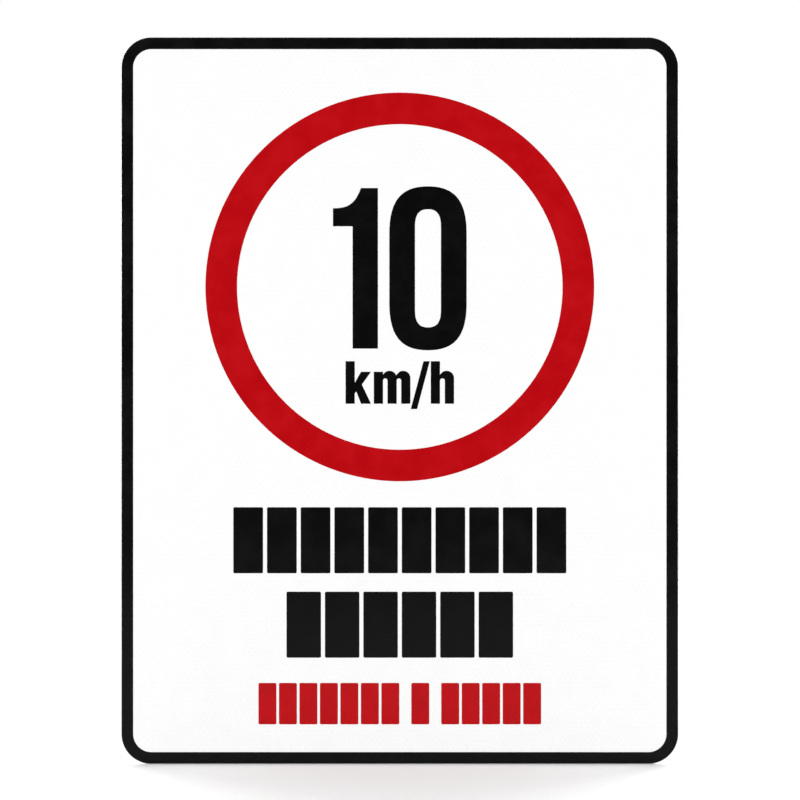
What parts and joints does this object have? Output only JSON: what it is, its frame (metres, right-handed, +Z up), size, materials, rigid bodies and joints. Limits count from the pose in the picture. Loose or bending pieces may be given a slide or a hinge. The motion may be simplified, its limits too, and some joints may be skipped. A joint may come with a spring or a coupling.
{
  "type": "speed limit sign",
  "caption": "Upright rectangular speed limit sign: a flat metal plate with a white reflective face, black border, red ring round numerals and unit, and rows of plain blocks.",
  "frame": {"origin": "middle of the plate's flat back face, which lies against the post, rail or wall", "axes": "+Z up along the plate's height, -Y out of the front with the graphics, +X to the right seen from the front"},
  "size_m": [0.46, 0.0023, 0.6],
  "materials": {
    "plate": "satin",
    "face_white": "satin",
    "film_black": "satin",
    "film_red": "satin"
  },
  "bodies": {
    "root": {"sign_plate": "plate", "face_sheet": "face_white", "border_band": "film_black", "ring_band": "film_red", "numeral_one": "film_black", "numeral_zero": "film_black", "unit_k": "film_black", "unit_m": "film_black", "unit_slash": "film_black", "unit_h": "film_black", "upper_block_01": "film_black", "upper_block_02": "film_black", "upper_block_03": "film_black", "upper_block_04": "film_black", "upper_block_05": "film_black", "upper_block_06": "film_black", "upper_block_07": "film_black", "upper_block_08": "film_black", "upper_block_09": "film_black", "upper_block_10": "film_black", "lower_block_01": "film_black", "lower_block_02": "film_black", "lower_block_03": "film_black", "lower_block_04": "film_black", "lower_block_05": "film_black", "lower_block_06": "film_black", "note_block_01": "film_red", "note_block_02": "film_red", "note_block_03": "film_red", "note_block_04": "film_red", "note_block_05": "film_red", "note_block_06": "film_red", "note_block_07": "film_red", "note_block_08": "film_red", "note_block_09": "film_red", "note_block_10": "film_red", "note_block_11": "film_red", "note_block_12": "film_red", "note_block_13": "film_red"}
  },
  "joints": []
}
